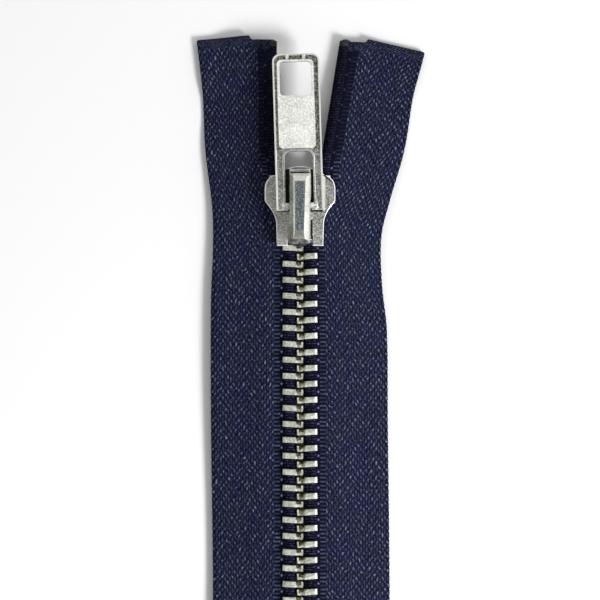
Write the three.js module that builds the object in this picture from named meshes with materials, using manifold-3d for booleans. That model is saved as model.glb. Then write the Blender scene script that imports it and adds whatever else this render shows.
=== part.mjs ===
// A closed-end metal zipper of the number 5 size, lying closed on a flat surface.
// Millimetres. +X runs across the chain, +Y along it towards the top end, +Z up.
// The origin is the middle of the underside of the whole part's box.
import * as THREE from 'three';
import { mergeVertices } from 'three/addons/utils/BufferGeometryUtils.js';
import Module from 'manifold-3d';

const wasm = await Module();
wasm.setup();

// Chain
const pitch = 2.73; // between two teeth of one side
const toothThickness = 1.0;
const legEnd = -1.0; // along a tooth, from the middle of the cord it grips
const headEnd = 2.5;
const legHalfHeight = 1.2;
const headHalfHeight = 0.75;
const toothDroop = THREE.MathUtils.degToRad(3);
const cordX = 1.95; // the cord's middle, from the chain's centre line, where the chain is closed
const cordHalfWidth = 0.95;
const cordHalfHeight = 0.6;
const chainZ = 2.35; // the middle of the tapes and teeth
const teethPerSegment = 3;
const firstToothY = { left: -49.55, right: -48.2 };
const teethPerSide = 35;
const topStopLow = 46.05; // the top stops close on the cords above the last teeth
const topStopHigh = 47.45;

// Slider, measured from the middle of its lower end
const sliderY = 35.4;
const sliderLength = 13.5;
const plateThickness = 0.8;
const bodyHeight = 4.7;
const slotLow = 1.9; // the slots that the tapes leave by
const slotHigh = 2.8;
const throatHalfWidth = 3.4;
const mouthHalfWidth = 5.45;
const pivotAt = 6.75;
const pivotZ = 5.7;
const capHalfWidth = 1.85;
const capTop = 7.7;
const capGap = 0.05; // between the cap and the plate it is crimped to
const capLow = 0.2;
const capHigh = 12.2;

// Opening of the two rows inside the slider
const spreadStart = 39;
const spreadLength = 7.5;
const spread = 2.3;

// Pull tab, measured from its pivot
const tabHalfWidth = 4.0;
const tabTop = 26.15;
const tabThickness = 1.1;
const tabSkew = THREE.MathUtils.degToRad(1.7);
const tabTilt = THREE.MathUtils.degToRad(3.5);
const barRadius = 0.6;

// Tapes
const tapeThickness = 0.5;
const tapeGap = 1.25; // from the cord's middle to the flat part of the tape
const flatUntil = 6.3; // the tape is level this far out, and slopes down from there
const tapeSlope = 0.23;
const stopLineY = -51; // the top of the bottom stop, where the two halves part
const lowEndY = -71;
const topEndY = 70.5;
const tailLift = 1.35; // how far the cords come down at the tapes' two ends
const joinGap = 0.3;

const frameShift = new THREE.Vector3(-1.825, 0.25, 0);

const smooth = (t) => THREE.MathUtils.smoothstep(t, 0, 1);

// Where the two tapes differ: the lean of the free tails above the slider, and the outer edges.
const sides = {
  left: {
    sign: -1,
    tailOut: 0.65,
    tailLean: 0,
    topDrop: 0.2,
    edge: [[-71, 15], [-25, 14.85], [5, 15.2], [26, 15.2], [36, 14.85], [42, 15], [52, 16.2], [62, 16.7], [71, 17.7]],
  },
  right: {
    sign: 1,
    tailOut: 0.15,
    tailLean: 0.158,
    topDrop: 2.1,
    edge: [[-71, 15.1], [-25, 15.3], [5, 15], [21, 14.85], [29, 14], [37, 13.9], [43, 15.3], [52, 17.9], [62, 19.5], [71, 21.4]],
  },
};

for (const side of Object.values(sides)) {
  side.curve = new THREE.CatmullRomCurve3(side.edge.map(([y, x]) => new THREE.Vector3(x, y, 0)));
  side.edgePoints = side.curve.getPoints(90);
}

// Distance of a tape's outer edge from the centre line.
function outerEdge(side, y) {
  const after = side.edgePoints.findIndex((p) => p.y >= y);
  const high = side.edgePoints[Math.max(1, after)];
  const low = side.edgePoints[Math.max(1, after) - 1];
  return THREE.MathUtils.lerp(low.x, high.x, (y - low.y) / (high.y - low.y));
}

// Distance of a cord's middle from the centre line.
function cordCentre(side, y) {
  const inSlider = spread * smooth((y - spreadStart) / spreadLength);
  const tail = side.tailOut * smooth((y - 48) / 5) + side.tailLean * Math.max(0, y - 49.5);
  return cordX + inSlider + tail;
}

// The cords keep one height along the chain and come down at the two ends.
function cordHeight(y) {
  return chainZ - tailLift * smooth((y - 50) / 20.5) - tailLift * smooth((-54 - y) / 17);
}

function tapeHeight(x, y) {
  const down = tapeSlope * Math.max(0, x - flatUntil);
  return Math.max(tapeThickness / 2, cordHeight(y) - down);
}

const finishes = {
  tape: { color: 0x1b2147, roughness: 0.9, metalness: 0 },
  cord: { color: 0x171c3c, roughness: 0.9, metalness: 0 },
  tooth: { color: 0xc9c6bb, roughness: 0.3, metalness: 1 },
  cast: { color: 0xa9a9a6, roughness: 0.4, metalness: 1 },
  cap: { color: 0xb9b9b4, roughness: 0.3, metalness: 1 },
  spring: { color: 0x9a9a96, roughness: 0.35, metalness: 1 },
};

function node(name, geometry, finish) {
  const mesh = new THREE.Mesh(geometry, new THREE.MeshStandardMaterial(finishes[finish]));
  mesh.name = name;
  return mesh;
}

// Joining and cutting

function toSolid(geometry) {
  const bare = geometry.index ? geometry.toNonIndexed() : geometry.clone();
  bare.deleteAttribute('normal');
  bare.deleteAttribute('uv');
  const merged = mergeVertices(bare, 1e-4);
  return new wasm.Manifold(new wasm.Mesh({
    numProp: 3,
    vertProperties: merged.attributes.position.array,
    triVerts: new Uint32Array(merged.index.array),
  }));
}

function toGeometry(solid) {
  const mesh = solid.getMesh();
  const geometry = new THREE.BufferGeometry();
  geometry.setAttribute('position', new THREE.BufferAttribute(mesh.vertProperties, 3));
  geometry.setIndex(new THREE.BufferAttribute(mesh.triVerts, 1));
  geometry.computeVertexNormals();
  return geometry;
}

function joined(geometries) {
  return geometries.map(toSolid).reduce((a, b) => a.add(b));
}

function block(x0, x1, y0, y1, z0, z1) {
  const box = new THREE.BoxGeometry(x1 - x0, y1 - y0, z1 - z0);
  return box.translate((x0 + x1) / 2, (y0 + y1) / 2, (z0 + z1) / 2);
}

// An outline in plan, made solid between two heights.
function slab(shape, z0, z1, curveSegments = 6) {
  const slabShape = new THREE.ExtrudeGeometry(shape, { depth: z1 - z0, bevelEnabled: false, curveSegments });
  return slabShape.translate(0, 0, z0);
}

function polygon(points) {
  return new THREE.Shape(points.map(([x, y]) => new THREE.Vector2(x, y)));
}

// A section drawn across X and Z, made solid from y0 to y1.
function bar(points, y0, y1) {
  const geometry = new THREE.ExtrudeGeometry(polygon(points), { depth: y1 - y0, bevelEnabled: false });
  return geometry.rotateX(Math.PI / 2).translate(0, y1, 0);
}

// A profile drawn along Y and Z, made solid across a width in X.
function sideBar(points, width) {
  const geometry = new THREE.ExtrudeGeometry(polygon(points), { depth: width, bevelEnabled: false });
  return geometry.rotateY(Math.PI / 2).rotateX(Math.PI / 2).translate(-width / 2, 0, 0);
}

// Tapes and cords are boxes of many cells whose corners are moved to their places.
function movedBox(columns, stations, thickness, place) {
  const rows = stations.length - 1;
  const geometry = new THREE.BoxGeometry(columns, rows, thickness, columns, rows, 1);
  const at = geometry.attributes.position;
  for (let i = 0; i < at.count; i += 1) {
    const column = Math.round(at.getX(i) + columns / 2);
    const y = stations[Math.round(at.getY(i) + rows / 2)];
    const p = place(column, y);
    at.setXYZ(i, p.x, p.y, p.z + at.getZ(i));
  }
  return geometry;
}

const tapeColumns = 4;

// Column 0 is the edge beside the cord, column 1 the fold line, and the last one the outer edge.
function tape(side, stations) {
  return movedBox(tapeColumns, stations, tapeThickness, (column, y) => {
    const k = side.sign < 0 ? tapeColumns - column : column;
    const inner = cordCentre(side, y) + tapeGap;
    const fold = Math.max(flatUntil, inner + 0.8);
    const outer = outerEdge(side, y);
    const x = k === 0 ? inner : THREE.MathUtils.lerp(fold, outer, (k - 1) / (tapeColumns - 1));
    const drop = side.topDrop * ((x - inner) / (outer - inner)) ** 2 * smooth((y - 58) / 12.5);
    return new THREE.Vector3(side.sign * x, y - drop, tapeHeight(x, y));
  });
}

function cord(side, stations) {
  return movedBox(1, stations, 2 * cordHalfHeight, (column, y) => {
    const x = side.sign * cordCentre(side, y) + (column - 0.5) * 2 * cordHalfWidth;
    return new THREE.Vector3(x, y, cordHeight(y));
  });
}

function evenly(from, to, steps) {
  return Array.from({ length: steps + 1 }, (_, i) => THREE.MathUtils.lerp(from, to, i / steps));
}

// One tooth: two legs shut on the cord, and a thinner head with a rounded tip.
const toothProfile = [
  [legEnd, -0.9], [legEnd + 0.2, -legHalfHeight], [0.9, -legHalfHeight], [1.3, -headHalfHeight],
  [headEnd - 0.2, -headHalfHeight], [headEnd, -0.5], [headEnd, 0.5], [headEnd - 0.2, headHalfHeight],
  [1.3, headHalfHeight], [0.9, legHalfHeight], [legEnd + 0.2, legHalfHeight], [legEnd, 0.9],
];

function tooth(side, y) {
  const step = 0.01;
  const lean = Math.atan((cordCentre(side, y + step) - cordCentre(side, y - step)) / (2 * step));
  const turn = lean - toothDroop;
  const geometry = bar(toothProfile, -toothThickness / 2, toothThickness / 2);
  geometry.rotateZ(side.sign < 0 ? turn : Math.PI - turn);
  return geometry.translate(side.sign * cordCentre(side, y), y, chainZ);
}

// A few teeth on their own length of cord.
function segments(sideName) {
  const side = sides[sideName];
  const made = [];
  for (let first = 0; first < teethPerSide; first += teethPerSegment) {
    const last = Math.min(first + teethPerSegment, teethPerSide) - 1;
    const low = firstToothY[sideName] + pitch * (first - 0.5) + joinGap / 2;
    const high = firstToothY[sideName] + pitch * (last + 0.5) - joinGap / 2;
    const pieces = [cord(side, evenly(low, high, high > spreadStart ? 6 : 1))];
    for (let i = first; i <= last; i += 1) pieces.push(tooth(side, firstToothY[sideName] + pitch * i));
    const number = String(made.length + 1).padStart(2, '0');
    made.push(node(`${sideName}_teeth_${number}`, toGeometry(joined(pieces)), 'tooth'));
  }
  return made;
}

// A section with cut corners, for the stops.
function cutCorners(halfWidth, halfHeight, cut, z) {
  return [
    [-halfWidth, z - halfHeight + cut], [-halfWidth + cut, z - halfHeight],
    [halfWidth - cut, z - halfHeight], [halfWidth, z - halfHeight + cut],
    [halfWidth, z + halfHeight - cut], [halfWidth - cut, z + halfHeight],
    [-halfWidth + cut, z + halfHeight], [-halfWidth, z + halfHeight - cut],
  ];
}

function topStop(sideName) {
  const side = sides[sideName];
  const geometry = bar(cutCorners(0.95, 1.1, 0.35, chainZ), topStopLow, topStopHigh);
  geometry.translate(side.sign * cordCentre(side, (topStopLow + topStopHigh) / 2), 0, 0);
  return node(`${sideName}_top_stop`, geometry, 'tooth');
}

function bottomStop() {
  const geometry = bar(cutCorners(3.1, 1.3, 0.4, chainZ), stopLineY - 2.5, stopLineY - joinGap);
  return node('bottom_stop', geometry, 'tooth');
}

function halfTape(sideName) {
  const side = sides[sideName];
  const stations = [
    stopLineY + joinGap, -25, 5, 21, 25, 29, 33, 37, 40, 43, 46, 48.5, 50.5, 53, 56, 59, 62, 65, 68, topEndY,
  ];
  return node(`${sideName}_tape`, tape(side, stations), 'tape');
}

function lowerTape(sideName) {
  return node(`${sideName}_lower_tape`, tape(sides[sideName], evenly(lowEndY, stopLineY, 5)), 'tape');
}

function cordEnd(sideName) {
  return node(`${sideName}_cord_end`, cord(sides[sideName], evenly(topStopHigh + joinGap, topEndY - 0.2, 10)), 'cord');
}

function lowerCord(sideName) {
  const stations = evenly(lowEndY, stopLineY - 2.8, 5);
  return node(`${sideName}_lower_cord`, cord(sides[sideName], stations), 'cord');
}

// Slider

function mirrored(shape, right) {
  // right draws the half from the lower middle to the upper middle; its points are then mirrored.
  right(shape);
  const points = shape.getPoints(5);
  const back = points.slice(1, -1).reverse().map((p) => new THREE.Vector2(-p.x, p.y));
  return new THREE.Shape([...points, ...back]);
}

function plateOutline() {
  return mirrored(new THREE.Shape(), (s) => {
    s.moveTo(0, 0);
    s.lineTo(3.95, 0);
    s.lineTo(4.05, 3.9);
    s.quadraticCurveTo(4.2, 5.5, 5.75, 7.3);
    s.lineTo(6, 7.7);
    s.lineTo(6, 9.8);
    s.bezierCurveTo(5.9, 11.2, 5.2, 11.8, 4.2, 12.05);
    s.quadraticCurveTo(2.2, sliderLength, 0, sliderLength);
  });
}

function channelOutline() {
  return mirrored(new THREE.Shape(), (s) => {
    s.moveTo(0, -1);
    s.lineTo(throatHalfWidth, -1);
    s.lineTo(throatHalfWidth, 3.6);
    s.bezierCurveTo(throatHalfWidth, 5.3, 5.3, 6.6, mouthHalfWidth, 9);
    s.lineTo(mouthHalfWidth, sliderLength + 1);
    s.lineTo(0, sliderLength + 1);
  });
}

function sliderBody() {
  const outline = plateOutline();
  const channel = channelOutline();
  const post = polygon([
    [0, 7.2], [1.25, 10.8], [0.95, 12.5], [0.3, 13.3], [-0.3, 13.3], [-0.95, 12.5], [-1.25, 10.8],
  ]);
  const ceiling = bodyHeight - plateThickness;
  const lower = toSolid(slab(outline, 0, slotLow)).subtract(toSolid(slab(channel, plateThickness, slotLow + 0.2)));
  const upper = toSolid(slab(outline, slotHigh, bodyHeight))
    .subtract(toSolid(slab(channel, slotHigh - 0.2, ceiling)));
  const lugs = joined([
    block(-1, 1, 9.6, 11.3, ceiling + 0.1, 6.2),
    block(-1, 1, 1.1, 2, ceiling + 0.1, 6.2),
    block(-1.65, 1.65, 12.45, 12.95, ceiling + 0.1, 6.6),
  ]);
  const pawlHole = toSolid(block(-0.8, 0.8, 2.3, 3.7, ceiling - 0.2, bodyHeight + 0.2));
  const frontNotch = toSolid(block(-2.1, 2.1, -1, 0.95, ceiling - 0.2, bodyHeight + 0.2));
  return lower
    .add(upper)
    .add(toSolid(slab(post, plateThickness - 0.1, ceiling + 0.1)))
    .add(lugs)
    .subtract(pawlHole)
    .subtract(frontNotch);
}

// The cap is a hollow cover with a flat crest, sloping sides and a slot through it for the pull's bar.
function sliderCap() {
  const floor = bodyHeight + capGap;
  const wall = 0.55;
  const section = [
    [-capHalfWidth, floor], [capHalfWidth, floor], [capHalfWidth, 6.4], [1.6, 6.95],
    [0.8, capTop], [-0.8, capTop], [-1.6, 6.95], [-capHalfWidth, 6.4],
  ];
  const side = [
    [capLow, floor], [capHigh, floor], [capHigh, 6.7], [11.7, 7.3], [10.9, capTop],
    [2, capTop], [1.1, 7.4], [0.5, 6.7], [capLow, 5.9],
  ];
  const hollow = [
    [wall - capHalfWidth, floor - 0.2], [capHalfWidth - wall, floor - 0.2],
    [capHalfWidth - wall, 6.4], [0.65, 7.1], [-0.65, 7.1], [wall - capHalfWidth, 6.4],
  ];
  return toSolid(bar(section, capLow, capHigh))
    .intersect(toSolid(sideBar(side, 2 * capHalfWidth + 1)))
    .subtract(toSolid(bar(hollow, capLow + wall + 0.1, capHigh - wall)))
    .subtract(toSolid(block(-3, 3, pivotAt - 1, pivotAt + 1, floor - 0.2, 6.6)));
}

// A bent leaf: it lies over the pull's bar, and its tip goes down between two teeth.
function lockPawl() {
  const tipAt = 2.985;
  const profile = [
    [11.2, 6.45], [11.2, 6.7], [5.9, 6.7], [tipAt - 0.1, 5.3],
    [tipAt - 0.1, 2.75], [tipAt + 0.1, 2.75], [tipAt + 0.1, 5.1], [5.95, 6.45],
  ];
  return sideBar(profile, 0.9);
}

function roundedRectangle(path, x0, x1, y0, y1, r) {
  path.moveTo(x0 + r, y0);
  path.lineTo(x1 - r, y0);
  path.absarc(x1 - r, y0 + r, r, -Math.PI / 2, 0);
  path.lineTo(x1, y1 - r);
  path.absarc(x1 - r, y1 - r, r, 0, Math.PI / 2);
  path.lineTo(x0 + r, y1);
  path.absarc(x0 + r, y1 - r, r, Math.PI / 2, Math.PI);
  path.lineTo(x0, y0 + r);
  path.absarc(x0 + r, y0 + r, r, Math.PI, 1.5 * Math.PI);
  return path;
}

function pullTab() {
  const outline = roundedRectangle(new THREE.Shape(), -tabHalfWidth, tabHalfWidth, -3, tabTop, 1.3);
  const upperWindow = roundedRectangle(new THREE.Path(), -2.65, 2.65, 19.1, 24.5, 0.6);
  const lowerWindow = roundedRectangle(new THREE.Path(), -2.4, 2.4, -1.5, 9.3, 0.7);
  outline.holes.push(upperWindow, lowerWindow);
  const plate = toSolid(slab(outline, -tabThickness / 2, tabThickness / 2, 4));
  const armEnds = toSolid(block(-5, 5, -4, -0.75, -1, 1));
  const crossBar = new THREE.CylinderGeometry(barRadius, barRadius, 6, 16).rotateZ(Math.PI / 2);
  return plate.subtract(armEnds).add(toSolid(crossBar));
}

function slider() {
  const group = new THREE.Group();
  group.position.set(0, sliderY, 0);
  group.add(node('slider_body', toGeometry(sliderBody()), 'cast'));
  group.add(node('slider_cap', toGeometry(sliderCap()), 'cap'));
  group.add(node('lock_pawl', lockPawl(), 'spring'));
  const swing = new THREE.Group();
  swing.position.set(0, pivotAt, pivotZ);
  swing.rotation.z = tabSkew;
  const tab = node('pull_tab', toGeometry(pullTab()), 'cast');
  tab.rotation.x = -tabTilt;
  swing.add(tab);
  group.add(swing);
  return group;
}

const zipper = new THREE.Group();
zipper.position.copy(frameShift);
for (const sideName of Object.keys(sides)) {
  zipper.add(halfTape(sideName), lowerTape(sideName), cordEnd(sideName), lowerCord(sideName));
  zipper.add(...segments(sideName), topStop(sideName));
}
zipper.add(bottomStop(), slider());

const part = new THREE.Group();
part.add(zipper);

export default part;
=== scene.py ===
import math
import random

import bpy
from mathutils import Matrix, Vector


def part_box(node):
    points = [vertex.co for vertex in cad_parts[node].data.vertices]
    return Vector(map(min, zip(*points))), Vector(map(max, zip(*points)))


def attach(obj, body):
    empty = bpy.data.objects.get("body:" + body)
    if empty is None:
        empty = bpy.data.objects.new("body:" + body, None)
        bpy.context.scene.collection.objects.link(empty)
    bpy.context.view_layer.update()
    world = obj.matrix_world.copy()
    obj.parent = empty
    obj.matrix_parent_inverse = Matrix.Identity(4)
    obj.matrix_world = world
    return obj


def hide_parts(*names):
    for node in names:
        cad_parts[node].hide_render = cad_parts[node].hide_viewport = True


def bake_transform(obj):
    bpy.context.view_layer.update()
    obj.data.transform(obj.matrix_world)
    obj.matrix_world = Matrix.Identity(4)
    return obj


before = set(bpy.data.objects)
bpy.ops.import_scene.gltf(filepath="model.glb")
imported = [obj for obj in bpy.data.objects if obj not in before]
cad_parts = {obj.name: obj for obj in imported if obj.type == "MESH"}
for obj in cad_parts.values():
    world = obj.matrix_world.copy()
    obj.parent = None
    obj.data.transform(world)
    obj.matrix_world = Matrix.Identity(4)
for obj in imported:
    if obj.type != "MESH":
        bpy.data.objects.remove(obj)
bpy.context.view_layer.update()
print("frame loaded")

mm = 0.001
dice = random.Random(11)

# The chain, as it is in the CAD. A zone is where a change starts and over how long it comes in.
chain = {
    "pitch": 2.73,
    "cordX": 1.95,
    "cordHalfWidth": 0.95,
    "cordHalfHeight": 0.6,
    "height": 2.35,
    "droop": math.radians(3),
    "firstTooth": {"left": -49.55, "right": -48.2},
    "teeth": 35,
    "perPiece": 3,
    "spread": 2.3,
    "spreadZone": (39, 7.5),
    "tailZone": (48, 5),
    "leanFrom": 49.5,
    "tailDrop": 1.35,
    "topDropZone": (50, 20.5),
    "lowDropZone": (-54, -17),
    "stopTop": -51.3,
    "sliderY": 35.4,
    "lowEnd": -71,
    "topEnd": 70.5,
}

stopLow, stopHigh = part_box("bottom_stop")
chainX = (stopLow.x + stopHigh.x) / 2
chainY = stopHigh.y - chain["stopTop"] * mm
fromChain = Matrix.Translation((chainX, chainY, 0)) @ Matrix.Diagonal((mm, mm, mm, 1))

# Each side's cord and cloth: "edge" holds places along the chain with the cloth's reach there, and
# "topLine" holds reaches with the height of the top end there.
sides = {
    "left": {
        "sign": -1,
        "tailOut": 0.65,
        "tailLean": 0,
        "edge": [(-71, 15), (-25, 14.85), (5, 15.2), (26, 15.2), (36, 14.85),
                 (42, 15), (52, 16.2), (62, 16.7), (71, 17.7)],
        "topLine": [(0, 70.85), (8.3, 70.95), (8.8, 71.65), (18, 70.85)],
        "endLift": 0.65,
    },
    "right": {
        "sign": 1,
        "tailOut": 0.15,
        "tailLean": 0.158,
        "edge": [(-71, 15.1), (-25, 15.3), (5, 15), (21, 14.85), (29, 14),
                 (37, 13.9), (43, 15.3), (52, 17.9), (62, 19.5), (71, 21.4)],
        "topLine": [(0, 70.8), (11.3, 70.45), (11.7, 71.05), (21.5, 68.8)],
        "endLift": 0.45,
    },
}


def smooth(t):
    t = min(max(t, 0), 1)
    return t * t * (3 - 2 * t)


def ease(at, start, over):
    # 0 before the start, and 1 past the end of the zone
    return smooth((at - start) / over)


def between(points, at):
    # straight lines through the points
    for (x0, y0), (x1, y1) in zip(points, points[1:]):
        if at <= x1:
            return y0 + (y1 - y0) * (at - x0) / (x1 - x0)
    return points[-1][1]


def outerEdge(side, y):
    # a smooth curve through the points of the tape's outer edge
    points = side["edge"]
    final = len(points) - 1
    i = max(k for k in range(final) if points[k][0] <= max(y, points[0][0]))
    before, low, high, after = (points[min(max(k, 0), final)] for k in range(i - 1, i + 3))
    span = high[0] - low[0]
    t = (y - low[0]) / span
    slopeLow = (high[1] - before[1]) / (high[0] - before[0]) * span
    slopeHigh = (after[1] - low[1]) / (after[0] - low[0]) * span
    return (
        low[1] * (1 + 2 * t) * (1 - t) ** 2
        + slopeLow * t * (1 - t) ** 2
        + high[1] * t * t * (3 - 2 * t)
        - slopeHigh * t * t * (1 - t)
    )


def cordCentre(side, y):
    inSlider = chain["spread"] * ease(y, *chain["spreadZone"])
    tail = side["tailOut"] * ease(y, *chain["tailZone"]) + side["tailLean"] * max(0, y - chain["leanFrom"])
    return chain["cordX"] + inSlider + tail


def cordHeight(y):
    # the cords come down at both ends of the tapes
    drop = chain["tailDrop"]
    return chain["height"] - drop * ease(y, *chain["topDropZone"]) - drop * ease(y, *chain["lowDropZone"])


# Camera and light

view = {"wide": 102.4, "lens": 120, "sensor": 36, "lookAt": (0, 26.19, 3), "floorDrop": 0.05}
lights = {
    "skyTop": 0.27,
    "skyLow": 1.0,
    "skyRight": 0.6,
    "key": {"from": (0.95, -0.7, 0.78), "far": 480, "size": 150, "power": 2.7},
    "fill": {"from": (-0.75, 0.35, 0.75), "far": 520, "size": 320, "power": 0.2},
}


def addCamera():
    data = bpy.data.cameras.new("camera")
    data.lens = view["lens"]
    data.sensor_width = view["sensor"]
    data.clip_end = 10
    camera = bpy.data.objects.new("camera", data)
    bpy.context.scene.collection.objects.link(camera)
    far = view["wide"] / view["sensor"] * view["lens"]
    x, y, z = view["lookAt"]
    camera.location = fromChain @ Vector((x, y, z + far))
    bpy.context.scene.camera = camera


def addLight(name, facts):
    data = bpy.data.lights.new(name, "AREA")
    data.shape = "DISK"
    data.size = facts["size"] * mm
    data.energy = facts["power"]
    lamp = bpy.data.objects.new(name, data)
    bpy.context.scene.collection.objects.link(lamp)
    target = fromChain @ Vector(view["lookAt"])
    way = Vector(facts["from"]).normalized()
    lamp.location = target + way * facts["far"] * mm
    lamp.rotation_euler = way.to_track_quat("Z", "Y").to_euler()


addCamera()
addLight("key", lights["key"])
addLight("fill", lights["fill"])
bpy.context.scene.view_settings.view_transform = "Standard"
print("camera and lights placed")


# Materials

class Wire:
    # an output socket that adds Math nodes when it is used in sums

    def __init__(self, finish, socket):
        self.finish = finish
        self.socket = socket

    def math(self, operation, *others):
        return self.finish.add("ShaderNodeMath", {"operation": operation}, [self, *others])

    def __add__(self, other):
        return self.math("ADD", other)

    __radd__ = __add__

    def __sub__(self, other):
        return self.math("SUBTRACT", other)

    def __rsub__(self, other):
        return self.finish.add("ShaderNodeMath", {"operation": "SUBTRACT"}, [other, self])

    def __mul__(self, other):
        return self.math("MULTIPLY", other)

    __rmul__ = __mul__

    def __truediv__(self, other):
        return self.math("DIVIDE", other)

    def floor(self):
        return self.math("FLOOR")

    def fraction(self):
        return self.math("FRACT")

    def away(self):
        return self.math("ABSOLUTE")

    def above(self, limit):
        return self.math("GREATER_THAN", limit)

    def ramp(self, low, high):
        # 0 at low and 1 at high, smooth between them; low may be the larger
        settings = {"interpolation_type": "SMOOTHSTEP", "clamp": True}
        inputs = {"Value": self, "From Min": low, "From Max": high}
        return self.finish.add("ShaderNodeMapRange", settings, inputs)


class Finish:
    # one material, or the world, and its nodes

    def __init__(self, name, kept=bpy.data.materials):
        self.material = kept.new(name)
        self.material.use_nodes = True
        self.tree = self.material.node_tree
        self.tree.nodes.clear()

    def add(self, kind, settings=None, inputs=None, out=0):
        node = self.tree.nodes.new(kind)
        for key, value in (settings or {}).items():
            setattr(node, key, value)
        pairs = inputs.items() if isinstance(inputs, dict) else enumerate(inputs or [])
        for key, value in pairs:
            if isinstance(value, Wire):
                self.tree.links.new(value.socket, node.inputs[key])
            else:
                node.inputs[key].default_value = value
        return Wire(self, node.outputs[out]) if len(node.outputs) else None

    def split(self, vector, kind="XYZ"):
        # the three parts of a vector, or of a colour
        node = self.tree.nodes.new("ShaderNodeSeparate" + kind)
        self.tree.links.new(vector.socket, node.inputs[0])
        return [Wire(self, socket) for socket in node.outputs]

    def objectPlace(self):
        # place in millimetres
        place = self.add("ShaderNodeTexCoord", out="Object")
        return self.add("ShaderNodeVectorMath", {"operation": "SCALE"}, {"Vector": place, "Scale": 1000.0})

    def stretch(self, scale, turn=0.0):
        values = {"Vector": self.objectPlace(), "Scale": scale, "Rotation": (0, 0, turn)}
        return self.add("ShaderNodeMapping", None, values)

    def randomIn(self, x, y, out="Value"):
        # a random value or colour for each whole x and y
        cell = self.add("ShaderNodeCombineXYZ", None, [x, y, 0.0])
        settings = {"noise_dimensions": "3D"}
        return self.add("ShaderNodeTexWhiteNoise", settings, {"Vector": cell}, out=out)

    def noise(self, scale, detail=2.0, roughness=0.5, place=None):
        place = place or self.objectPlace()
        values = {"Vector": place, "Scale": scale, "Detail": detail, "Roughness": roughness}
        return self.add("ShaderNodeTexNoise", None, values, out="Fac")

    def blend(self, share, first, second):
        # two colours mixed by a share
        settings = {"data_type": "RGBA"}
        return self.add("ShaderNodeMix", settings, {0: share, 6: first, 7: second}, out=2)

    def bump(self, height, distance, strength=1.0):
        values = {"Height": height, "Distance": distance * mm, "Strength": strength}
        return self.add("ShaderNodeBump", None, values)

    def close(self, **values):
        inputs = {key.replace("_", " "): value for key, value in values.items()}
        shader = self.add("ShaderNodeBsdfPrincipled", None, inputs)
        self.add("ShaderNodeOutputMaterial", None, {"Surface": shader})
        return self.material


def rgb(red, green, blue):
    # display values from 0 to 255 made linear
    def linear(c):
        c /= 255
        return c / 12.92 if c <= 0.04045 else ((c + 0.055) / 1.055) ** 2.4

    return (linear(red), linear(green), linear(blue), 1)


def addSky():
    # a studio that is bright all round and darker above, and a little brighter on the right
    f = Finish("studio", bpy.data.worlds)
    right, _, up = f.split(f.add("ShaderNodeTexCoord", out="Generated"))
    strength = lights["skyLow"] + up.ramp(0.45, 0.97) * (lights["skyTop"] - lights["skyLow"])
    strength = strength * (1 + right * lights["skyRight"])
    shine = f.add("ShaderNodeBackground", None, {"Color": (1, 1, 1, 1), "Strength": strength})
    f.add("ShaderNodeOutputWorld", None, {"Surface": shine})
    bpy.context.scene.world = f.material


addSky()


# The weave: columns of floats whose heights step up and down in turn, as herringbone.
weave = {
    "columns": 29,
    "columnWide": 0.445,
    "group": 5,
    "period": 2.48,
    "tilt": 0.5,
    "drift": 1.1,
    "fleckWide": 0.44,
    "fleckLong": 0.23,
    "fleckShift": 0.22,
    "fleckSlide": 0.3,
    "relief": 0.035,
    "rungPitch": chain["pitch"] / 4,
    "rungFrom": 2.9,
    "rungTo": 5.1,
    "loopAt": 2.2,
    "loopWide": 0.6,
    "loopHigh": 0.28,
    # the darkest colour is painted shade between the yarns, and the lightest a painted highlight on the
    # floats' crowns
    "gapShade": rgb(2, 4, 22),
    "yarn": rgb(35, 40, 62),
    "violet": rgb(32, 32, 70),
    "crownHighlight": rgb(108, 113, 138),
    "cord": rgb(5, 6, 17),
    "bandLines": 0.5,
    "bandHigh": 1.15,
    "tailFrom": 18.0,
}


def weaveFloats(f, across, along):
    # the painted highlight on each float's crown, and where the yarn covers the gaps, which are painted
    # shade; the yarns aren't quite even
    drift = f.noise(0.9)
    wobble = f.noise(1.3)
    across = across + (drift - 0.5) * weave["drift"]
    along = along + (wobble - 0.5) * weave["drift"]
    column = across.floor()
    fromMiddle = across - column - 0.5
    half = weave["period"] / 2
    steps = column.math("PINGPONG", float(weave["group"]))
    turns = along / half + steps * 0.5
    count = turns.floor()
    fromCrown = turns - count - 0.5
    falling = (column / (2.0 * weave["group"])).fraction().above(0.49)
    lean = (falling * 2 - 1) * weave["tilt"]
    chance, shift, slide = f.split(f.randomIn(column, count, "Color"), "Color")
    lengthwise = fromCrown + (shift - 0.5) * weave["fleckShift"]
    leaning = lean * lengthwise * (half / weave["columnWide"])
    sideways = fromMiddle + (slide - 0.5) * weave["fleckSlide"] + leaning
    wide = sideways / weave["fleckWide"]
    long = lengthwise / weave["fleckLong"]
    crown = (wide * wide + long * long).math("SQRT").ramp(1.0, 0.4)
    strong = (count / 2).fraction().above(0.25)
    light = crown * (0.1 + 0.7 * chance) * (0.45 + 0.55 * strong)
    body = (1 - (fromMiddle * 2).away().ramp(0.5, 1.0)) * (1 - (fromCrown * 2).away().ramp(0.6, 1.05))
    worn = f.noise(3.2).ramp(0.3, 0.75)
    return light, body * (0.45 + 1.2 * worn)


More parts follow.
